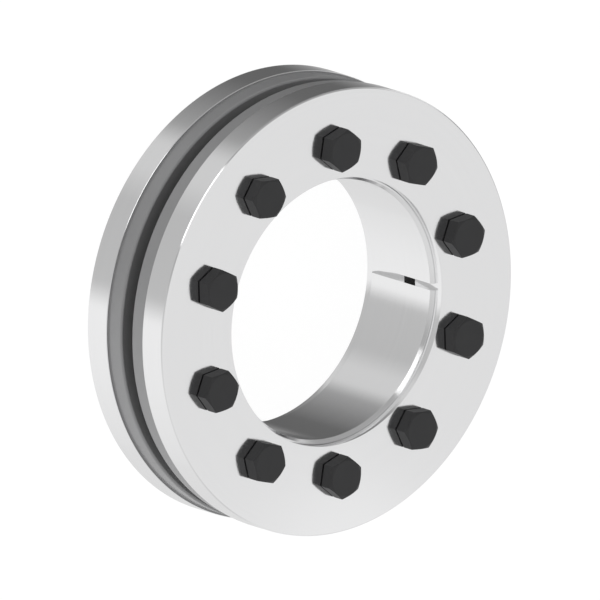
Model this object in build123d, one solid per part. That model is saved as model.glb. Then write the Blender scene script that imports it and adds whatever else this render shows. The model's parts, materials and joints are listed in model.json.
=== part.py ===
from build123d import *
import os
from math import cos, radians, tan

# Shrink disc for clamping a hollow hub onto a shaft, in millimetres and degrees.
# Two thrust rings ride on the double cone of a slit inner ring and are drawn together by bolts.
# The axis is Z, the rear thrust ring's outer face lies on Z = 0 and the bolt heads point up.
# The inner ring's slit opens towards +X.

# Inner ring
bore_diameter = 90.0
end_wall = 1.5  # radial wall at the ring's two ends
end_recess = 3.25  # from a thrust ring's outer face down to the inner ring's end
taper_half_angle = 9.5  # of each cone, against the axis
crown_width = 4.0  # cylindrical crown where the two cones would meet
bore_chamfer = 1.0
slit_width = 2.4

# Thrust rings
ring_wall = 32.5  # from the bore's wall to the outside
ring_width = 16.8
ring_gap = 5.4  # open gap between the two rings before the bolts are tightened
land_width = 10.2  # full-diameter land beside the outer face
band_depth = 0.8  # step from the land down to the band beside the gap
face_chamfer = 0.5  # where the outer face meets the land
land_chamfer = 0.4  # where the land meets the step
band_fillet = 0.8  # where the band turns into the gap
cone_chamfer = 0.5  # where the tapered bore meets the gap
taper_clearance = 0.03  # radial, between the tapered bore and the inner ring

# Bolts and their holes
bolt_count = 10
first_bolt_angle = 18.0
bolt_circle_wall = 12.25  # from the bore's wall to the bolt circle
thread_diameter = 8.0
bolt_end_recess = 4.0  # from the rear face up to the bolt's end
bolt_end_chamfer = 1.0
head_across_flats = 13.0
head_height = 5.3
head_turn = -10.0  # of one hexagon corner, from the radial direction
crown_inset = 0.35  # from a flat of the head in to the rim of its top face
crown_angle = 30.0  # of the chamfer round the top of the head
washer_face_inset = 0.7  # from a flat of the head in to the seat under it
washer_face_height = 0.4
bolt_hole_clearance = 0.5  # radial, in the front thrust ring
thread_clearance = 0.05  # radial, in the rear thrust ring
tapped_hole_chamfer = 0.8

# Worked out from the values above
bore_radius = bore_diameter / 2
outside_radius = bore_radius + ring_wall
band_radius = outside_radius - band_depth
bolt_circle_radius = bore_radius + bolt_circle_wall
pack_width = 2 * ring_width + ring_gap
middle = pack_width / 2
taper = tan(radians(taper_half_angle))
thread_radius = thread_diameter / 2
bolt_angles = [first_bolt_angle + 360 / bolt_count * i for i in range(bolt_count)]


def turned(outline):
    """Solid of revolution about Z from the corners of its half section, as radius and height."""
    section = make_face(Polyline(*outline, close=True))
    return revolve(Plane.XZ * section, Axis.Z)


def rim(solid, radius, height):
    """The circular edge of a turned solid at this radius and height."""
    circles = solid.edges().filter_by(GeomType.CIRCLE)
    return min(circles, key=lambda edge: abs(edge.radius - radius) + abs(edge.arc_center.Z - height))


def cone_radius(height):
    """Radius of the inner ring's lower cone at this height above the rear face."""
    return bore_radius + end_wall + (height - end_recess) * taper


def bored_cone_radius(height):
    """Radius of the rear thrust ring's tapered bore at this height above the rear face."""
    return cone_radius(height) + taper_clearance


def thrust_ring():
    """Thrust ring without its bolt holes, lying on its outer face; the bore is straight down to the cone."""
    mouth_radius = bored_cone_radius(end_recess)
    ring = turned(
        [
            (mouth_radius, end_recess),
            (mouth_radius, 0),
            (outside_radius, 0),
            (outside_radius, land_width),
            (band_radius, land_width),
            (band_radius, ring_width),
            (bored_cone_radius(ring_width), ring_width),
        ]
    )
    ring = chamfer(rim(ring, outside_radius, 0), face_chamfer)
    ring = chamfer(rim(ring, outside_radius, land_width), min(land_chamfer, band_depth / 2))
    ring = chamfer(rim(ring, bored_cone_radius(ring_width), ring_width), cone_chamfer)
    return fillet(rim(ring, band_radius, ring_width), min(band_fillet, (ring_width - land_width) / 2))


def round_each_bolt(shape):
    """Copies of a shape that stands on the axis, moved out to every bolt."""
    return [Rot(0, 0, angle) * Pos(bolt_circle_radius, 0, 0) * shape for angle in bolt_angles]


def rear_thrust_ring():
    """Thrust ring at the bottom, with a tapped hole through it for every bolt."""
    hole_radius = thread_radius + thread_clearance
    mouth_radius = hole_radius + tapped_hole_chamfer
    hole = turned(
        [
            (0, 0),
            (mouth_radius, 0),
            (hole_radius, tapped_hole_chamfer),
            (hole_radius, ring_width - tapped_hole_chamfer),
            (mouth_radius, ring_width),
            (0, ring_width),
        ]
    )
    return thrust_ring() - round_each_bolt(hole)


def front_thrust_ring():
    """Thrust ring at the top, turned over, with a clearance hole through it for every bolt."""
    hole = Cylinder(thread_radius + bolt_hole_clearance, ring_width, align=(Align.CENTER, Align.CENTER, Align.MIN))
    ring = thrust_ring() - round_each_bolt(hole)
    return Pos(0, 0, pack_width) * mirror(ring, Plane.XY)


def inner_ring():
    """Ring with a plain bore and a double cone outside, slit along its whole length."""
    low_end = end_recess
    high_end = pack_width - end_recess
    crown_low = middle - crown_width / 2
    crown_high = middle + crown_width / 2
    ring = turned(
        [
            (bore_radius, low_end),
            (cone_radius(low_end), low_end),
            (cone_radius(crown_low), crown_low),
            (cone_radius(crown_low), crown_high),
            (cone_radius(low_end), high_end),
            (bore_radius, high_end),
        ]
    )
    bore_rims = [rim(ring, bore_radius, low_end), rim(ring, bore_radius, high_end)]
    ring = chamfer(bore_rims, min(bore_chamfer, 0.7 * end_wall))
    slit = Box(outside_radius, slit_width, pack_width, align=(Align.MIN, Align.CENTER, Align.MIN))
    return ring - slit


def bolt():
    """Hex-head bolt on the axis, its seat on the front face."""
    flat_radius = head_across_flats / 2
    corner_radius = flat_radius / cos(radians(30))
    crown_radius = flat_radius - crown_inset
    blank_radius = corner_radius + crown_inset
    seat = pack_width
    hexagon_bottom = seat + washer_face_height
    top = seat + head_height
    blank_shoulder = top - (blank_radius - crown_radius) * tan(radians(crown_angle))
    hexagon = RegularPolygon(flat_radius, 6, major_radius=False)
    head = extrude(Pos(0, 0, hexagon_bottom) * hexagon, head_height - washer_face_height)
    head = head & turned(
        [
            (0, seat),
            (blank_radius, seat),
            (blank_radius, blank_shoulder),
            (crown_radius, top),
            (0, top),
        ]
    )
    shank = turned(
        [
            (0, bolt_end_recess),
            (thread_radius - bolt_end_chamfer, bolt_end_recess),
            (thread_radius, bolt_end_recess + bolt_end_chamfer),
            (thread_radius, seat),
            (flat_radius - washer_face_inset, seat),
            (flat_radius - washer_face_inset, hexagon_bottom),
            (0, hexagon_bottom),
        ]
    )
    return Rot(0, 0, head_turn) * (head + shank)


pieces = {
    "rear_thrust_ring": rear_thrust_ring(),
    "front_thrust_ring": front_thrust_ring(),
    "inner_ring": inner_ring(),
}
for number, placed_bolt in enumerate(round_each_bolt(bolt()), start=1):
    pieces[f"bolt_{number:02d}"] = placed_bolt

os.makedirs("parts", exist_ok=True)
for name, piece in pieces.items():
    export_step(piece, f"parts/{name}.step")
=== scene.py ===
"""Shrink disc: turned steel rings and black clamping bolts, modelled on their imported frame."""

import json
from math import acos, atan2, ceil, cos, floor, pi, radians, sin, tan, tau

import bmesh
import bpy
from bpy.props import FloatProperty, FloatVectorProperty, IntProperty, PointerProperty
from mathutils import Matrix, Quaternion, Vector

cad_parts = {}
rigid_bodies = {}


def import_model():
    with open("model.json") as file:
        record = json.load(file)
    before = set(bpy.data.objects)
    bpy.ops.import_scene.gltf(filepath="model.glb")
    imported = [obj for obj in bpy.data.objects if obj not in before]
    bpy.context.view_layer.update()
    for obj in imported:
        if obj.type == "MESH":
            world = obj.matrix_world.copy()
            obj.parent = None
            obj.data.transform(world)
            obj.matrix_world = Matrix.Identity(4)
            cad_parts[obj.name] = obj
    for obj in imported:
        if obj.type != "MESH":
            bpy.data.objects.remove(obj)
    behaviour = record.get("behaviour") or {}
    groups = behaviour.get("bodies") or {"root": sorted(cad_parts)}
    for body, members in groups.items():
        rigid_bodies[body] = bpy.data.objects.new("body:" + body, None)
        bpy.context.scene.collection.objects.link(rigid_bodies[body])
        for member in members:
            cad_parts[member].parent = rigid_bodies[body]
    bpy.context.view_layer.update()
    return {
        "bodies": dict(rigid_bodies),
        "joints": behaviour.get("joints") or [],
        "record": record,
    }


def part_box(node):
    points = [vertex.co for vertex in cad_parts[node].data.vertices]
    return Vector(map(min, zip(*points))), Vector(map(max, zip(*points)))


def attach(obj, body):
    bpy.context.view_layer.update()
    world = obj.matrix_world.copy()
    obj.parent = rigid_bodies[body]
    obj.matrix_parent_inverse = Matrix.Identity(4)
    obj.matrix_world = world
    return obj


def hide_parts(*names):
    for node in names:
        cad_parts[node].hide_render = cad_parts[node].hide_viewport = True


bl_info = {
    "name": "Shrink disc",
    "version": (1, 0, 0),
    "blender": (4, 5, 0),
    "location": "3D View > Sidebar > Shrink disc",
    "description": "Builds a three-part shrink disc and the studio that it is shown in",
    "category": "Add Mesh",
}

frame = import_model()

# Places that the frame settles, in metres
mm = 0.001
record = frame["record"]
joints = {joint["child"]: joint for joint in frame["joints"]}
mounts = {mount["name"]: mount for mount in record["mounts"]}
ratios = {coupling["joint"]: coupling["ratio"] for coupling in record["behaviour"]["couplings"]}
bolts = sorted(name for name in frame["bodies"] if name.startswith("bolt_"))
bore_radius = mounts["hub_bore"]["dims"]["r_mm"] * mm
outside_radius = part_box("rear_thrust_ring")[1].x
rear_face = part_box("rear_thrust_ring")[0].z
rear_gap_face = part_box("rear_thrust_ring")[1].z
front_gap_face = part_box("front_thrust_ring")[0].z
front_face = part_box("front_thrust_ring")[1].z
inner_ring_low, inner_ring_high = (corner.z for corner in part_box("inner_ring"))
bolt_low, bolt_high = (corner.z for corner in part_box(bolts[0]))
turns_per_metre = ratios[joints[bolts[0]]["name"]] / tau
thread_pitch = 1 / turns_per_metre

WHITE = (1, 1, 1, 1)
# Brightness of the room in the steel by azimuth in degrees, from -Y round by +X, +Y and -X.
# The low walls are below eye level, the high walls above it.
LOW_WALLS = (
    (-90, 0.77), (-58, 0.74), (-28, 0.74), (-4, 0.3), (15, 0.127), (42, 0.135), (64, 0.227), (86, 0.345),
    (99, 0.64), (116, 0.64), (134, 0.505), (178, 0.525), (190, 0.893), (225, 0.867), (270, 0.79),
)
HIGH_WALLS = (
    (-90, 0.64), (-45, 0.64), (-33, 0.77), (-16, 0.77), (-9, 0.46), (5, 0.37), (24, 0.33), (50, 0.35),
    (110, 0.39), (134, 0.38), (150, 0.37), (163, 0.42), (181, 0.58), (200, 0.66), (216, 0.72), (235, 0.72),
    (250, 0.7), (270, 0.64),
)


def number(name, default, description, **kind):
    """A setting that is a number."""
    return FloatProperty(name=name, default=default, description=description, **kind)


def length(name, default, description):
    """A setting that is a length in metres, given in millimetres."""
    return number(name, default * mm, description, unit="LENGTH", precision=5)


def angle(name, default, description):
    """A setting that is an angle, given in degrees."""
    return number(name, radians(default), description, subtype="ANGLE")


def factor(name, default, description):
    """A setting between nought and one."""
    return number(name, default, description, subtype="FACTOR", min=0, max=1)


def colour(name, default, description):
    """A setting that is a linear colour."""
    kind = {"subtype": "COLOR", "min": 0, "max": 1}
    return FloatVectorProperty(name=name, default=default, description=description, **kind)


class ThrustRingSettings(bpy.types.PropertyGroup):
    """Sizes and finish of the two thrust rings."""

    mouth_radius: length("Mouth radius", 46.53, "Radius of the bore's straight mouth in the outer face")
    taper: angle("Taper", 9.5, "Half angle of the tapered bore, against the axis")
    cone_chamfer: length("Cone chamfer", 0.15, "Chamfer where the tapered bore meets the gap")
    land_width: length("Land width", 10.2, "Width of the bright land beside the outer face")
    face_chamfer: length("Face chamfer", 0.4, "Chamfer between the outer face and the land")
    land_chamfer: length("Land chamfer", 0.2, "Chamfer between the land and the step")
    band_depth: length("Band depth", 0.8, "Step from the land down to the grey band")
    band_fillet: length("Band fillet", 0.8, "Rounding from the grey band into the gap")
    edge_ease: length("Edge ease", 0.1, "Rounding on every edge that a file has broken")
    clearance_hole: length("Clearance hole", 4.5, "Radius of the front ring's bolt holes")
    tapped_hole_mouth: length("Tapped hole mouth", 4.85, "Radius of the chamfer round each tapped hole")
    steel: colour("Turned steel", (0.95, 0.95, 0.955), "Colour of the turned faces and lands")
    band: colour("Grey band", (0.355, 0.355, 0.36), "Colour of the duller band beside the gap")
    # Painted shade: a darker colour on the gap faces stands in for the shade between the two rings
    gap: colour("Gap faces", (0.29, 0.29, 0.294), "Colour of the two faces that look into the gap")
    segments: IntProperty(name="Segments", default=360, min=24, description="Facets round each ring")


class InnerRingSettings(bpy.types.PropertyGroup):
    """Sizes and finish of the slit inner ring."""

    end_wall: length("End wall", 1.5, "Radial wall at the two ends")
    crown_width: length("Crown width", 4.0, "Plain crown between the two cones")
    bore_chamfer: length("Bore chamfer", 1.0, "Chamfer at both ends of the bore")
    slit_width: length("Slit width", 2.4, "Width of the slit along the ring")
    edge_ease: length("Edge ease", 0.08, "Rounding on every edge that a file has broken")
    steel: colour("Turned steel", (0.95, 0.95, 0.955), "Colour of the bore, the cones and the end faces")
    segments: IntProperty(name="Segments", default=360, min=24, description="Facets round the ring")


class BoltSettings(bpy.types.PropertyGroup):
    """Sizes and finish of the clamping bolts."""

    across_flats: length("Across flats", 13.0, "Size of the spanner that fits the head")
    head_turn: angle("Head turn", -10.0, "Turn of one hexagon corner away from the radial direction")
    crown_inset: length("Crown inset", 0.35, "From a flat of the head in to the rim of its top face")
    crown_angle: angle("Crown angle", 30.0, "Chamfer round the top of the head")
    washer_inset: length("Washer face inset", 0.7, "From a flat of the head in to the seat under it")
    washer_height: length("Washer face height", 0.4, "Height of the seat under the head")
    thread_radius: length("Thread radius", 4.0, "Radius over the crests of the thread")
    thread_root: length("Thread root", 3.233, "Radius at the roots of the thread")
    end_chamfer: length("End chamfer", 1.0, "Chamfer at the bolt's end")
    neck: length("Neck", 1.5, "Unthreaded length under the head")
    edge_ease: length("Edge ease", 0.06, "Rounding on the edges of the head")
    black: colour("Black oxide", (0.028, 0.028, 0.029), "Colour of the blackened steel")


class StageSettings(bpy.types.PropertyGroup):
    """Camera, lights and floor."""

    azimuth: angle("Azimuth", -112.64, "Camera's place round the axis")
    elevation: angle("Elevation", 47.55, "Camera's height above the faces of the rings")
    photo_width: IntProperty(name="Picture width", default=600, description="Width of the picture in pixels")
    photo_scale: number("Picture scale", 2956.7, "Pixels in the picture for a metre")
    face_centre_px: FloatVectorProperty(
        name="Face centre",
        size=2,
        default=(336.6, 311.84),
        description="Pixel where the front face's centre shows",
    )
    floor: colour("Floor", (0.9, 0.9, 0.9), "Colour of the floor")
    floor_glow: number("Floor glow", 1.07, "Brightness of the floor to the camera before its shading")
    shade_kept: factor("Shade kept", 0.12, "Share of the floor's shading that the camera sees on it")
    horizon: number("Horizon", 0.83, "Brightness of the room at eye level, in the steel")
    ceiling: number("Ceiling", 0.86, "Brightness of the room overhead, in the steel")
    soft_ceiling: number("Soft ceiling", 0.55, "Light from overhead on dull surfaces")
    side_power: number("Side lamp", 0.032, "Power of the side lamp", unit="POWER")
    strip_power: number("Strip lamp", 0.4, "Power of the strip lamp", unit="POWER")


def eased(corners, steps=3, hold=0.04 * mm):
    """A closed outline with each corner rounded off: corners are (radius, height, rounding).

    One more point just beyond each end of a rounding keeps the straights flat in the shading.
    """
    points = []
    for index, (radius, height, ease) in enumerate(corners):
        here = Vector((radius, height))
        if not ease:
            points.append(here)
            continue
        back = (Vector(corners[index - 1][:2]) - here).normalized()
        ahead = (Vector(corners[(index + 1) % len(corners)][:2]) - here).normalized()
        half = acos(max(-1, min(1, back.dot(ahead)))) / 2
        reach = ease / tan(half)
        centre = here + (back + ahead).normalized() * (ease / sin(half))
        start = here + back * reach - centre
        end = here + ahead * reach - centre
        first = atan2(start.y, start.x)
        swing = (atan2(end.y, end.x) - first + pi) % tau - pi
        points.append(here + back * (reach + hold))
        for step in range(steps + 1):
            turn = first + swing * step / steps
            points.append(centre + Vector((cos(turn), sin(turn))) * ease)
        points.append(here + ahead * (reach + hold))
    return points


def new_piece(name, mesh_data):
    """An object in the scene that holds a bmesh, with its faces turned outwards."""
    bmesh.ops.recalc_face_normals(mesh_data, faces=mesh_data.faces)
    mesh = bpy.data.meshes.new(name)
    mesh_data.to_mesh(mesh)
    mesh_data.free()
    piece = bpy.data.objects.new(name, mesh)
    bpy.context.scene.collection.objects.link(piece)
    return piece


def turns_round(segments):
    """Angles that share one turn evenly."""
    return [tau * step / segments for step in range(segments)]


def add_points(mesh_data, points, place=Matrix.Identity(4)):
    """Adds a row of vertices, each given as (radius, turn round Z, height)."""
    row = []
    for radius, turn, height in points:
        row.append(mesh_data.verts.new(place @ Vector((radius * cos(turn), radius * sin(turn), height))))
    return row


def join_sections(mesh_data, section, following):
    """Adds the faces between two rows that each follow a closed outline."""
    for index in range(len(section)):
        ahead = (index + 1) % len(section)
        mesh_data.faces.new((section[index], following[index], following[ahead], section[ahead]))


def stack_rims(mesh_data, rims):
    """Adds the wall through a pile of rims, and closes its two ends with flat discs."""
    for lower, upper in zip(rims, rims[1:]):
        for index in range(len(lower)):
            ahead = (index + 1) % len(lower)
            mesh_data.faces.new((lower[index], lower[ahead], upper[ahead], upper[index]))
    mesh_data.faces.new(rims[0][::-1])
    mesh_data.faces.new(rims[-1])


def add_plug(mesh_data, outline, segments, place=Matrix.Identity(4)):
    """Adds an open outline turned once round Z, with its two ends closed by flat discs."""
    turns = turns_round(segments)
    rims = []
    for radius, height in outline:
        rims.append(add_points(mesh_data, [(radius, turn, height) for turn in turns], place))
    stack_rims(mesh_data, rims)


def add_thread(mesh_data, root, crest, crest_flat, low, high, segments, place=Matrix.Identity(4)):
    """Adds a rod with a right-hand thread of 60 degrees, in step with every other thread of this pitch."""
    flank = (crest - root) * tan(radians(30))
    root_flat = thread_pitch - crest_flat - 2 * flank
    profile = [
        (root, 0),
        (root, root_flat),
        (crest, root_flat + flank),
        (crest, root_flat + flank + crest_flat),
    ]
    first_turn = floor(low / thread_pitch)
    steps = (ceil(high / thread_pitch) - first_turn) * segments
    rows = []
    for step in range(steps + 1):
        turn = tau * step / segments
        height = thread_pitch * (first_turn + step / segments)
        rows.append(add_points(mesh_data, [(radius, turn, height + rise) for radius, rise in profile], place))
    for step in range(steps):
        strip, following = list(rows[step]), list(rows[step + 1])
        if step + 1 + segments <= steps:
            strip.append(rows[step + segments][0])
            following.append(rows[step + 1 + segments][0])
        for index in range(len(strip) - 1):
            mesh_data.faces.new((strip[index], following[index], following[index + 1], strip[index + 1]))
    lower_rim = [row[0] for row in rows[: segments + 1]] + rows[0][:0:-1]
    upper_rim = [row[-1] for row in rows[steps - segments :]] + rows[steps][-2::-1]
    lower_tip = thread_pitch * (first_turn - 0.5)
    upper_tip = thread_pitch * (first_turn + steps / segments + 1.5)
    for rim, height in ((lower_rim, lower_tip), (upper_rim, upper_tip)):
        tip = mesh_data.verts.new(place @ Vector((0, 0, height)))
        for index, corner in enumerate(rim):
            mesh_data.faces.new((corner, rim[(index + 1) % len(rim)], tip))


def bake(piece):
    """Turns a piece's modifiers into its mesh."""
    bpy.context.view_layer.update()
    depsgraph = bpy.context.evaluated_depsgraph_get()
    evaluated = piece.evaluated_get(depsgraph)
    mesh = bpy.data.meshes.new_from_object(evaluated, preserve_all_data_layers=True, depsgraph=depsgraph)
    piece.modifiers.clear()
    old, piece.data = piece.data, mesh
    bpy.data.meshes.remove(old)
    return piece


def combine(piece, tool, operation):
    """Cuts, joins or keeps what two closed pieces share, and deletes the second."""
    modifier = piece.modifiers.new(operation.title(), "BOOLEAN")
    modifier.operation = operation
    modifier.solver = "EXACT"
    modifier.object = tool
    bake(piece)
    bpy.data.objects.remove(tool)
    return piece


def shade(piece, sharp=radians(35)):
    """Smooth shading that keeps edges above an angle sharp and flat faces flat."""
    mesh_data = bmesh.new()
    mesh_data.from_mesh(piece.data)
    bmesh.ops.dissolve_degenerate(mesh_data, dist=1e-7, edges=mesh_data.edges)
    for face in mesh_data.faces:
        face.smooth = True
    for edge in mesh_data.edges:
        edge.smooth = edge.calc_face_angle(pi) < sharp
    mesh_data.to_mesh(piece.data)
    mesh_data.free()
    modifier = piece.modifiers.new("Flat faces", "WEIGHTED_NORMAL")
    modifier.mode = "FACE_AREA"
    modifier.keep_sharp = True
    return bake(piece)


def bolt_place(bolt):
    """Matrix from a bolt that stands on Z to its own place on the bolt circle."""
    x, y, _ = joints[bolt]["pos_m"]
    turn = atan2(y, x) + bpy.context.scene.disc_bolts.head_turn
    return Matrix.Translation((x, y, 0)) @ Matrix.Rotation(turn, 4, "Z")


def add_node(tree, kind, inputs=(), **settings):
    """Adds a shader node; each input is a number, a colour or another node's output."""
    node = tree.nodes.new(kind)
    for name, value in settings.items():
        setattr(node, name, value)
    for name, value in dict(inputs).items():
        if isinstance(value, bpy.types.NodeSocket):
            tree.links.new(value, node.inputs[name])
        else:
            node.inputs[name].default_value = value
    return node


def math_node(tree, operation, *values):
    """Output of a Math node on up to three numbers or sockets."""
    return add_node(tree, "ShaderNodeMath", enumerate(values), operation=operation).outputs[0]


def new_group(name, inputs, outputs):
    """A shader node group with its input and output nodes: inputs are (name, default)."""
    group = bpy.data.node_groups.new(name, "ShaderNodeTree")
    for title, default in inputs:
        socket = group.interface.new_socket(title, in_out="INPUT", socket_type="NodeSocketFloat")
        socket.default_value = default
    for title in outputs:
        group.interface.new_socket(title, in_out="OUTPUT", socket_type="NodeSocketFloat")
    return group, group.nodes.new("NodeGroupInput").outputs, group.nodes.new("NodeGroupOutput").inputs


def turned_marks():
    """Group: the fine grooves that a lathe leaves round the axis, on faces, cones and cylinders alike."""
    if "turned marks" in bpy.data.node_groups:
        return bpy.data.node_groups["turned marks"]
    inputs = [("Grooves per millimetre", 6.0), ("Streak length", 4.0)]
    group, given, result = new_group("turned marks", inputs, ["Groove", "Streak"])
    place = add_node(group, "ShaderNodeTexCoord").outputs["Object"]
    axes = add_node(group, "ShaderNodeSeparateXYZ", {"Vector": place}).outputs
    flat = add_node(group, "ShaderNodeCombineXYZ", {"X": axes["X"], "Y": axes["Y"]}).outputs[0]
    radius = add_node(group, "ShaderNodeVectorMath", {0: flat}, operation="LENGTH").outputs["Value"]
    heading = add_node(group, "ShaderNodeVectorMath", {0: flat}, operation="NORMALIZE").outputs["Vector"]
    heading = add_node(group, "ShaderNodeSeparateXYZ", {"Vector": heading}).outputs
    fineness = math_node(group, "MULTIPLY", given["Grooves per millimetre"], 1 / mm)
    across = math_node(group, "MULTIPLY", radius, fineness)
    along = math_node(group, "MULTIPLY", axes["Z"], fineness)
    round_x = math_node(group, "MULTIPLY", heading["X"], given["Streak length"])
    round_y = math_node(group, "MULTIPLY", heading["Y"], given["Streak length"])
    spot = add_node(group, "ShaderNodeCombineXYZ", {"X": across, "Y": round_x, "Z": round_y}).outputs[0]
    for title, scale, detail, roughness in (("Groove", 1.0, 2.0, 0.6), ("Streak", 0.22, 1.0, 0.5)):
        levels = {"Vector": spot, "W": along, "Scale": scale, "Detail": detail, "Roughness": roughness}
        noise = add_node(group, "ShaderNodeTexNoise", levels, noise_dimensions="4D")
        group.links.new(noise.outputs["Fac"], result[title])
    return group


def fine_grain():
    """Group: the even speckle of a chemical or rough-turned finish, with slow clouds in it."""
    if "fine grain" in bpy.data.node_groups:
        return bpy.data.node_groups["fine grain"]
    group, given, result = new_group("fine grain", [("Grains per millimetre", 6.0)], ["Grain", "Cloud"])
    place = add_node(group, "ShaderNodeTexCoord").outputs["Object"]
    fineness = math_node(group, "MULTIPLY", given["Grains per millimetre"], 1 / mm)
    for title, scale, detail, roughness in (("Grain", fineness, 3.0, 0.6), ("Cloud", 180.0, 2.0, 0.5)):
        levels = {"Vector": place, "Scale": scale, "Detail": detail, "Roughness": roughness}
        noise = add_node(group, "ShaderNodeTexNoise", levels)
        group.links.new(noise.outputs["Fac"], result[title])
    return group


def new_material(name):
    """A material with a Principled shader and nothing else."""
    material = bpy.data.materials.new(name)
    material.use_nodes = True
    tree = material.node_tree
    tree.nodes.clear()
    shader = add_node(tree, "ShaderNodeBsdfPrincipled")
    tree.links.new(shader.outputs[0], add_node(tree, "ShaderNodeOutputMaterial").inputs["Surface"])
    return material, tree, shader


def paint(tree, shader, mask, dark, light):
    """Colours a shader between two colours by a mask."""
    node = add_node(tree, "ShaderNodeMix", {"Factor": mask}, data_type="RGBA")
    ends = [socket for socket in node.inputs if socket.type == "RGBA"]
    for socket, end in zip(ends, (dark, light)):
        socket.default_value = (*end, 1)
    mixed = next(socket for socket in node.outputs if socket.type == "RGBA")
    tree.links.new(mixed, shader.inputs["Base Color"])


def roughen(tree, shader, mask, low, high):
    """Spreads a shader's roughness between two values by a mask."""
    spread = add_node(tree, "ShaderNodeMapRange", {"Value": mask, "To Min": low, "To Max": high})
    tree.links.new(spread.outputs["Result"], shader.inputs["Roughness"])


def emboss(tree, shader, height, strength, depth):
    """Gives a shader a fine relief."""
    bump = add_node(tree, "ShaderNodeBump", {"Height": height, "Strength": strength, "Distance": depth})
    tree.links.new(bump.outputs["Normal"], shader.inputs["Normal"])


def turned_steel(name, steel, roughness=0.13, unevenness=0.15):
    """Bright steel as it comes off a lathe, lightly polished."""
    material, tree, shader = new_material(name)
    shader.inputs["Metallic"].default_value = 1.0
    cut = {"Grooves per millimetre": 5.0, "Streak length": 3.0}
    marks = add_node(tree, "ShaderNodeGroup", cut, node_tree=turned_marks()).outputs
    darker = [channel * 0.97 for channel in steel]
    smoothest = roughness * (1 - unevenness)
    roughest = roughness * (1 + unevenness)
    paint(tree, shader, marks["Streak"], darker, steel)
    roughen(tree, shader, marks["Streak"], smoothest, roughest)
    emboss(tree, shader, marks["Groove"], 0.1, 0.01 * mm)
    return material


def grey_band_and_gap_shade(name, sizes, patchiness=0.4):
    """The duller stretch beside the gap: a coarser cut with a grey phosphate skin, and painted shade that
    darkens it inside the gap.
    """
    material, tree, shader = new_material(name)
    shader.inputs["Metallic"].default_value = 0.6
    shader.inputs["Coat Weight"].default_value = 0.8
    shader.inputs["Coat Roughness"].default_value = 0.2
    grain = add_node(tree, "ShaderNodeGroup", {"Grains per millimetre": 4.0}, node_tree=fine_grain()).outputs
    place = add_node(tree, "ShaderNodeTexCoord").outputs["Object"]
    height = add_node(tree, "ShaderNodeSeparateXYZ", {"Vector": place}).outputs["Z"]
    # Painted shade: the grey darkens to the gap colour over the fillet and on the faces inside the gap, where
    # the two rings shade each other; slow clouds also vary the grey at random
    from_middle = math_node(tree, "SUBTRACT", height, (rear_gap_face + front_gap_face) / 2)
    from_middle = math_node(tree, "ABSOLUTE", from_middle)
    half_gap = (front_gap_face - rear_gap_face) / 2
    levels = {"Value": from_middle, "From Min": half_gap, "From Max": half_gap + sizes.band_fillet}
    clear_of_gap_shade = add_node(tree, "ShaderNodeMapRange", levels).outputs["Result"]
    patchy = math_node(tree, "MULTIPLY_ADD", grain["Cloud"], patchiness, 1 - patchiness)
    paint(tree, shader, math_node(tree, "MULTIPLY", clear_of_gap_shade, patchy), sizes.gap, sizes.band)
    roughen(tree, shader, grain["Grain"], 0.5, 0.62)
    emboss(tree, shader, grain["Grain"], 0.3, 0.02 * mm)
    return material


def black_oxide(name, black):
    """Blackened steel with a thin film of oil."""
    material, tree, shader = new_material(name)
    shader.inputs["Metallic"].default_value = 0.0
    shader.inputs["Specular IOR Level"].default_value = 0.25
    grain = add_node(tree, "ShaderNodeGroup", {"Grains per millimetre": 7.0}, node_tree=fine_grain()).outputs
    lighter = [channel * 1.25 for channel in black]
    paint(tree, shader, grain["Cloud"], black, lighter)
    roughen(tree, shader, grain["Cloud"], 0.35, 0.45)
    emboss(tree, shader, grain["Grain"], 0.15, 0.01 * mm)
    return material


def thrust_ring(name, outer_face, gap_face):
    """One thrust ring without holes, from its outer face to the gap."""
    sizes = bpy.context.scene.disc_thrust_rings
    ease = sizes.edge_ease
    width = abs(gap_face - outer_face)
    band_radius = outside_radius - sizes.band_depth
    mouth_depth = inner_ring_low - rear_face
    taper = tan(sizes.taper)
    widest = sizes.mouth_radius + (width - mouth_depth) * taper
    along_cone = sizes.cone_chamfer * cos(sizes.taper)
    corners = [
        (sizes.mouth_radius, mouth_depth, 0),
        (sizes.mouth_radius, 0, ease / 2),
        (outside_radius - sizes.face_chamfer, 0, ease),
        (outside_radius, sizes.face_chamfer, ease),
        (outside_radius, sizes.land_width - sizes.land_chamfer, ease),
        (outside_radius - sizes.land_chamfer, sizes.land_width, ease),
        (band_radius, sizes.land_width, ease),
        (band_radius, width, sizes.band_fillet),
        (widest + sizes.cone_chamfer, width, ease),
        (widest - along_cone * taper, width - along_cone, ease),
    ]
    direction = 1 if gap_face > outer_face else -1
    outline = [(radius, outer_face + direction * depth) for radius, depth in eased(corners)]
    mesh_data = bmesh.new()
    sections = []
    for turn in turns_round(sizes.segments):
        sections.append(add_points(mesh_data, [(radius, turn, height) for radius, height in outline]))
    for section, following in zip(sections, sections[1:] + sections[:1]):
        join_sections(mesh_data, section, following)
    return new_piece(name, mesh_data)


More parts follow.
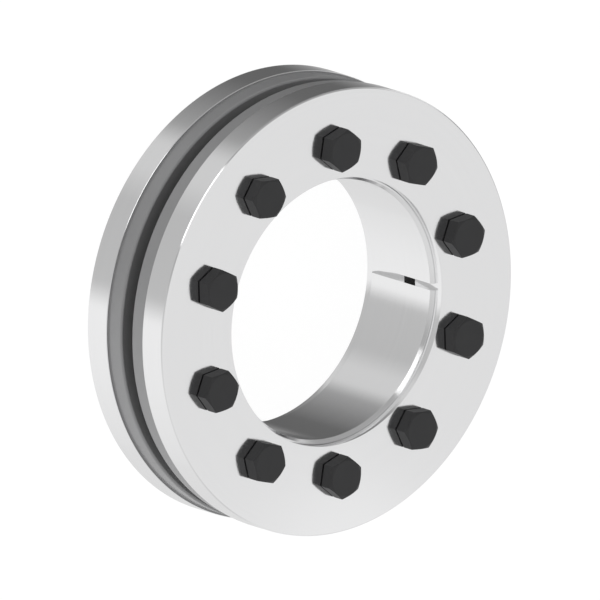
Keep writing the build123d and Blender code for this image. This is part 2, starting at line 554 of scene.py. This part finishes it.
def dress_thrust_ring(ring, body, outer_face):
    """Gives a finished thrust ring its two finishes and hangs it on its body."""
    sizes = bpy.context.scene.disc_thrust_rings
    steel = bpy.data.materials.get("turned steel") or turned_steel("turned steel", sizes.steel)
    band = bpy.data.materials.get("grey band") or grey_band_and_gap_shade("grey band", sizes)
    shade(ring)
    ring.data.materials.clear()
    ring.data.materials.append(steel)
    ring.data.materials.append(band)
    # A face takes the grey finish when its middle lies between these places
    band_inside = outside_radius - 2 * sizes.band_depth
    band_outside = outside_radius - sizes.land_chamfer
    band_start = sizes.land_width - 0.01 * mm
    gap_start = rear_gap_face - rear_face - 0.9 * sizes.band_fillet
    for face in ring.data.polygons:
        depth = abs(face.center.z - outer_face)
        on_band = band_inside < face.center.xy.length < band_outside and depth > band_start
        # Faces inside the gap take the grey material and, with it, its painted shade
        in_gap = abs(face.normal.z) > 0.5 and depth > gap_start
        face.material_index = int(on_band or in_gap)
    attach(ring, body)


class ShrinkDiscRearRing(bpy.types.Operator):
    """Rear thrust ring with a tapped hole for every bolt"""

    bl_idname = "shrink_disc.rear_ring"
    bl_label = "Rear thrust ring"

    def execute(self, context):
        sizes = context.scene.disc_thrust_rings
        thread = context.scene.disc_bolts
        ring = thrust_ring("rear_ring", rear_face, rear_gap_face)
        mouths = bmesh.new()
        taps = bmesh.new()
        beyond = 0.5 * mm
        crest_play = 0.05 * mm
        root_play = 0.09 * mm
        tap = {
            "root": thread.thread_root + root_play,
            "crest": thread.thread_radius + crest_play,
            "crest_flat": 0.2 * mm,
            "low": rear_face - thread_pitch,
            "high": rear_gap_face + thread_pitch,
            "segments": 36,
        }
        mouth_end = tap["root"] * 0.9
        for bolt in bolts:
            place = bolt_place(bolt)
            for face, inwards in ((rear_face, 1), (rear_gap_face, -1)):
                outline = [
                    (sizes.tapped_hole_mouth + beyond, face - inwards * beyond),
                    (mouth_end, face + inwards * (sizes.tapped_hole_mouth - mouth_end)),
                ]
                add_plug(mouths, outline[::inwards], segments=48, place=place)
            add_thread(taps, **tap, place=place)
        combine(ring, new_piece("mouths", mouths), "DIFFERENCE")
        combine(ring, new_piece("taps", taps), "DIFFERENCE")
        dress_thrust_ring(ring, "rear_ring", rear_face)
        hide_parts("rear_thrust_ring")
        return {"FINISHED"}


class ShrinkDiscFrontRing(bpy.types.Operator):
    """Front thrust ring with a clearance hole for every bolt"""

    bl_idname = "shrink_disc.front_ring"
    bl_label = "Front thrust ring"

    def execute(self, context):
        sizes = context.scene.disc_thrust_rings
        ring = thrust_ring("front_ring", front_face, front_gap_face)
        drills = bmesh.new()
        beyond = 1 * mm
        outline = [
            (sizes.clearance_hole, front_gap_face - beyond),
            (sizes.clearance_hole, front_face + beyond),
        ]
        for bolt in bolts:
            add_plug(drills, outline, segments=72, place=bolt_place(bolt))
        combine(ring, new_piece("drills", drills), "DIFFERENCE")
        dress_thrust_ring(ring, "front_ring", front_face)
        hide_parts("front_thrust_ring")
        return {"FINISHED"}


class ShrinkDiscInnerRing(bpy.types.Operator):
    """Slit inner ring with a plain bore and a double cone outside"""

    bl_idname = "shrink_disc.inner_ring"
    bl_label = "Inner ring"

    def execute(self, context):
        sizes = context.scene.disc_inner_ring
        ease = sizes.edge_ease
        middle = (inner_ring_low + inner_ring_high) / 2
        crown_low = middle - sizes.crown_width / 2
        crown_high = middle + sizes.crown_width / 2
        end_radius = bore_radius + sizes.end_wall
        crown_radius = end_radius + (crown_low - inner_ring_low) * tan(context.scene.disc_thrust_rings.taper)
        corners = [
            (bore_radius, inner_ring_low + sizes.bore_chamfer, ease),
            (bore_radius + sizes.bore_chamfer, inner_ring_low, ease),
            (end_radius, inner_ring_low, 0),
            (crown_radius, crown_low, ease),
            (crown_radius, crown_high, ease),
            (end_radius, inner_ring_high, 0),
            (bore_radius + sizes.bore_chamfer, inner_ring_high, ease),
            (bore_radius, inner_ring_high - sizes.bore_chamfer, ease),
        ]
        outline = eased(corners)
        half_slit = sizes.slit_width / 2
        mesh_data = bmesh.new()
        sections = []
        for step in range(sizes.segments + 1):
            points = []
            for radius, height in outline:
                margin = atan2(half_slit, (radius**2 - half_slit**2) ** 0.5)
                points.append((radius, margin + (tau - 2 * margin) * step / sizes.segments, height))
            sections.append(add_points(mesh_data, points))
        for section, following in zip(sections, sections[1:]):
            join_sections(mesh_data, section, following)
        mesh_data.faces.new(sections[0])
        mesh_data.faces.new(sections[-1][::-1])
        ring = shade(new_piece("inner_ring_turned", mesh_data))
        ring.data.materials.clear()
        ring.data.materials.append(turned_steel("fine turned steel", sizes.steel))
        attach(ring, "inner_ring")
        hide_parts("inner_ring")
        return {"FINISHED"}


def hex_head(sizes):
    """Closed hexagon head with a washer face under it and a chamfered crown, and a neck below."""
    flat = sizes.across_flats / 2
    crown = flat - sizes.crown_inset
    washer = flat - sizes.washer_inset
    shoulder = front_face + sizes.washer_height
    neck = sizes.thread_root + 0.1 * mm
    turns = turns_round(96)
    sixth = tau / 6

    def hexagon(turn):
        return flat / cos(turn % sixth - sixth / 2)

    def on_crown(turn):
        return bolt_high - (hexagon(turn) - crown) * tan(sizes.crown_angle)

    levels = [
        [(neck, turn, front_face - 2 * sizes.neck) for turn in turns],
        [(neck, turn, front_face) for turn in turns],
        [(washer, turn, front_face) for turn in turns],
        [(washer, turn, shoulder) for turn in turns],
        [(hexagon(turn), turn, shoulder) for turn in turns],
        [(hexagon(turn), turn, on_crown(turn)) for turn in turns],
        [(crown, turn, bolt_high) for turn in turns],
    ]
    mesh_data = bmesh.new()
    stack_rims(mesh_data, [add_points(mesh_data, level) for level in levels])
    head = new_piece("head", mesh_data)
    bevel = head.modifiers.new("Ease", "BEVEL")
    bevel.width = sizes.edge_ease
    bevel.segments = 2
    bevel.limit_method = "ANGLE"
    bevel.angle_limit = radians(25)
    return bake(head)


def threaded_shank(sizes):
    """Fully threaded shank with a chamfered end."""
    thread_top = front_face - sizes.neck
    wear = 0.02 * mm
    mesh_data = bmesh.new()
    add_thread(
        mesh_data,
        root=sizes.thread_root,
        crest=sizes.thread_radius - wear,
        crest_flat=0.14 * mm,
        low=bolt_low - thread_pitch,
        high=thread_top,
        segments=48,
    )
    shank = new_piece("shank", mesh_data)
    blank = bmesh.new()
    spare = 1 * mm
    outline = [
        (sizes.thread_radius - sizes.end_chamfer, bolt_low),
        (sizes.thread_radius + spare, bolt_low + sizes.end_chamfer + spare),
        (sizes.thread_radius + spare, thread_top - spare),
        (sizes.thread_root, thread_top),
    ]
    add_plug(blank, outline, segments=96)
    return combine(shank, new_piece("blank", blank), "INTERSECT")


class ShrinkDiscBolts(bpy.types.Operator):
    """Hexagon bolts round the front thrust ring, threaded into the rear one"""

    bl_idname = "shrink_disc.bolts"
    bl_label = "Clamping bolts"

    def execute(self, context):
        sizes = context.scene.disc_bolts
        pattern = shade(combine(hex_head(sizes), threaded_shank(sizes), "UNION"))
        pattern.data.materials.clear()
        pattern.data.materials.append(black_oxide("black oxide", sizes.black))
        for body in bolts:
            bolt = bpy.data.objects.new(f"{body}_threaded", pattern.data.copy())
            bolt.data.transform(bolt_place(body))
            context.scene.collection.objects.link(bolt)
            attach(bolt, body)
            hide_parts(body)
        bpy.data.objects.remove(pattern)
        return {"FINISHED"}


def seen(tree, shares):
    """Sum of Light Path outputs, each times its share: how much of a ray kind a mix lets through."""
    path = add_node(tree, "ShaderNodeLightPath")
    total = 0.0
    for output, share in shares.items():
        total = math_node(tree, "MULTIPLY_ADD", path.outputs[output], share, total)
    return total


def add_camera(settings):
    """Parallel camera at the photograph's angle, with the part's own +Y upright."""
    scene = bpy.context.scene
    back = Vector((
        sin(settings.azimuth) * cos(settings.elevation),
        -cos(settings.azimuth) * cos(settings.elevation),
        sin(settings.elevation),
    ))
    right = Vector((0, 1, 0)).cross(back).normalized()
    upright = back.cross(right)
    camera = bpy.data.objects.new("camera", bpy.data.cameras.new("camera"))
    camera.data.type = "ORTHO"
    camera.data.ortho_scale = settings.photo_width / settings.photo_scale
    middle = settings.photo_width / 2
    across, down = ((pixel - middle) / settings.photo_scale for pixel in settings.face_centre_px)
    aim = Vector((0, 0, front_face)) - right * across + upright * down
    turn = Matrix((right, upright, back)).transposed().to_4x4()
    distance = 0.8
    camera.matrix_world = Matrix.Translation(aim + back * distance) @ turn
    scene.collection.objects.link(camera)
    scene.camera = camera


def add_floor(settings):
    """Wide pale floor, nearly white to the camera with a share of its true shading.

    To the metal it is a sheet of glass with the lower half of the room under it.
    """
    half = 3.0
    height = rear_face - 0.02 * mm
    mesh_data = bmesh.new()
    corners = ((-half, -half), (half, -half), (half, half), (-half, half))
    mesh_data.faces.new([mesh_data.verts.new((x, y, height)) for x, y in corners])
    sheet = new_piece("floor", mesh_data)
    material = bpy.data.materials.new("pale floor")
    material.use_nodes = True
    tree = material.node_tree
    tree.nodes.clear()
    lift = 1 - settings.shade_kept
    mask = seen(tree, {"Is Camera Ray": lift, "Is Transmission Ray": lift})
    dull = add_node(tree, "ShaderNodeBsdfDiffuse", {"Color": (*settings.floor, 1)}).outputs[0]
    white = add_node(tree, "ShaderNodeEmission", {"Strength": settings.floor_glow}).outputs[0]
    mixed = add_node(tree, "ShaderNodeMixShader", {0: mask, 1: dull, 2: white}).outputs[0]
    clear = add_node(tree, "ShaderNodeBsdfTransparent").outputs[0]
    mask = seen(tree, {"Is Glossy Ray": 1.0})
    mixed = add_node(tree, "ShaderNodeMixShader", {0: mask, 1: mixed, 2: clear}).outputs[0]
    tree.links.new(mixed, add_node(tree, "ShaderNodeOutputMaterial").inputs["Surface"])
    sheet.data.materials.append(material)


def wall_ramp(tree, place, walls):
    """Brightness of the walls at a place round the room, from nought to one."""
    ramp = add_node(tree, "ShaderNodeValToRGB", {"Fac": place})
    stops = ramp.color_ramp.elements
    while len(stops) < len(walls):
        stops.new(0.5)
    for stop, (azimuth, brightness) in zip(stops, walls):
        stop.position = (azimuth + 90) / 360
        stop.color = (brightness, brightness, brightness, 1)
    return ramp.outputs["Color"]


def add_room(settings):
    """Soft light from all round, white to the camera.

    The steel sees the low walls, a pale strip at eye level, the high walls and the ceiling.
    Dull surfaces get even light that fades overhead.
    """
    world = bpy.data.worlds.new("studio")
    world.use_nodes = True
    tree = world.node_tree
    tree.nodes.clear()
    heading = add_node(tree, "ShaderNodeTexCoord").outputs["Generated"]
    axes = add_node(tree, "ShaderNodeSeparateXYZ", {"Vector": heading}).outputs
    leftwards = math_node(tree, "MULTIPLY", axes["X"], -1.0)
    turn = math_node(tree, "ARCTAN2", leftwards, axes["Y"])
    circle = {"Value": turn, "From Min": -pi, "From Max": pi}
    place = add_node(tree, "ShaderNodeMapRange", circle).outputs["Result"]

    # One level turns into the next between two heights, each the sine of an elevation
    def rising(start, end, below, above):
        levels = {"Value": axes["Z"], "From Min": start, "From Max": end, "To Min": below, "To Max": above}
        step = add_node(tree, "ShaderNodeMapRange", levels, interpolation_type="SMOOTHSTEP")
        return step.outputs["Result"]

    walls = rising(-0.22, -0.12, wall_ramp(tree, place, LOW_WALLS), settings.horizon)
    walls = rising(0.03, 0.17, walls, wall_ramp(tree, place, HIGH_WALLS))
    walls = rising(0.75, 0.92, walls, settings.ceiling)
    soft = rising(0.5, 0.98, 1.0, settings.soft_ceiling)
    mask = seen(tree, {"Is Glossy Ray": 1.0})
    levels = {"Value": mask, "To Min": soft, "To Max": walls}
    level = add_node(tree, "ShaderNodeMapRange", levels).outputs["Result"]
    light = add_node(tree, "ShaderNodeBackground", {"Color": WHITE, "Strength": level}).outputs[0]
    white = add_node(tree, "ShaderNodeBackground", {"Color": WHITE, "Strength": 1.0}).outputs[0]
    mask = seen(tree, {"Is Camera Ray": 1.0, "Is Transmission Ray": 1.0})
    mixed = add_node(tree, "ShaderNodeMixShader", {0: mask, 1: light, 2: white}).outputs[0]
    tree.links.new(mixed, add_node(tree, "ShaderNodeOutputWorld").inputs["Surface"])
    bpy.context.scene.world = world


def add_lamp(name, power, azimuth, elevation, distance, size, roll=0):
    """Soft oblong lamp that looks at the middle of the rear face, its place in degrees and metres."""
    lamp = bpy.data.objects.new(name, bpy.data.lights.new(name, "AREA"))
    lamp.data.shape = "RECTANGLE"
    lamp.data.size, lamp.data.size_y = size
    lamp.data.energy = power
    heading = Vector((
        cos(radians(azimuth)) * cos(radians(elevation)),
        sin(radians(azimuth)) * cos(radians(elevation)),
        sin(radians(elevation)),
    ))
    lamp.location = heading * distance
    lamp.rotation_mode = "QUATERNION"
    lamp.rotation_quaternion = heading.to_track_quat("Z", "Y") @ Quaternion((0, 0, 1), radians(roll))
    lamp.visible_camera = False
    bpy.context.scene.collection.objects.link(lamp)


class ShrinkDiscStage(bpy.types.Operator):
    """Camera, floor and soft studio light"""

    bl_idname = "shrink_disc.stage"
    bl_label = "Studio"

    def execute(self, context):
        settings = context.scene.disc_stage
        add_camera(settings)
        add_floor(settings)
        add_room(settings)
        side = {"azimuth": -52, "elevation": 40, "distance": 0.63, "size": (0.35, 0.24)}
        strip = {"azimuth": 128, "elevation": 40.7, "distance": 1.2, "size": (0.66, 0.13), "roll": 9}
        add_lamp("side", settings.side_power, **side)
        add_lamp("strip", settings.strip_power, **strip)
        context.scene.view_settings.view_transform = "Standard"
        return {"FINISHED"}


class ShrinkDiscPanel(bpy.types.Panel):
    """Lists the settings and the parts to build"""

    bl_idname = "VIEW3D_PT_shrink_disc"
    bl_label = "Shrink disc"
    bl_space_type = "VIEW_3D"
    bl_region_type = "UI"
    bl_category = "Shrink disc"

    def draw(self, context):
        for group, builders in PANEL_ROWS:
            box = self.layout.box()
            settings = getattr(context.scene, group)
            for name in settings.bl_rna.properties.keys():
                if name not in ("rna_type", "name"):
                    box.prop(settings, name)
            for builder in builders:
                box.operator(builder.bl_idname)


PANEL_ROWS = (
    ("disc_thrust_rings", (ShrinkDiscRearRing, ShrinkDiscFrontRing)),
    ("disc_inner_ring", (ShrinkDiscInnerRing,)),
    ("disc_bolts", (ShrinkDiscBolts,)),
    ("disc_stage", (ShrinkDiscStage,)),
)
SETTINGS = {
    "disc_thrust_rings": ThrustRingSettings,
    "disc_inner_ring": InnerRingSettings,
    "disc_bolts": BoltSettings,
    "disc_stage": StageSettings,
}
OPERATORS = (ShrinkDiscStage, ShrinkDiscRearRing, ShrinkDiscFrontRing, ShrinkDiscInnerRing, ShrinkDiscBolts)


def register():
    for each in (*SETTINGS.values(), *OPERATORS, ShrinkDiscPanel):
        bpy.utils.register_class(each)
    for name, group in SETTINGS.items():
        setattr(bpy.types.Scene, name, PointerProperty(type=group))


def unregister():
    for name in SETTINGS:
        delattr(bpy.types.Scene, name)
    for each in reversed((*SETTINGS.values(), *OPERATORS, ShrinkDiscPanel)):
        bpy.utils.unregister_class(each)


def main():
    """Builds everything."""
    register()
    bpy.ops.shrink_disc.stage()
    bpy.ops.shrink_disc.rear_ring()
    bpy.ops.shrink_disc.front_ring()
    bpy.ops.shrink_disc.inner_ring()
    bpy.ops.shrink_disc.bolts()


if __name__ == "__main__":
    main()
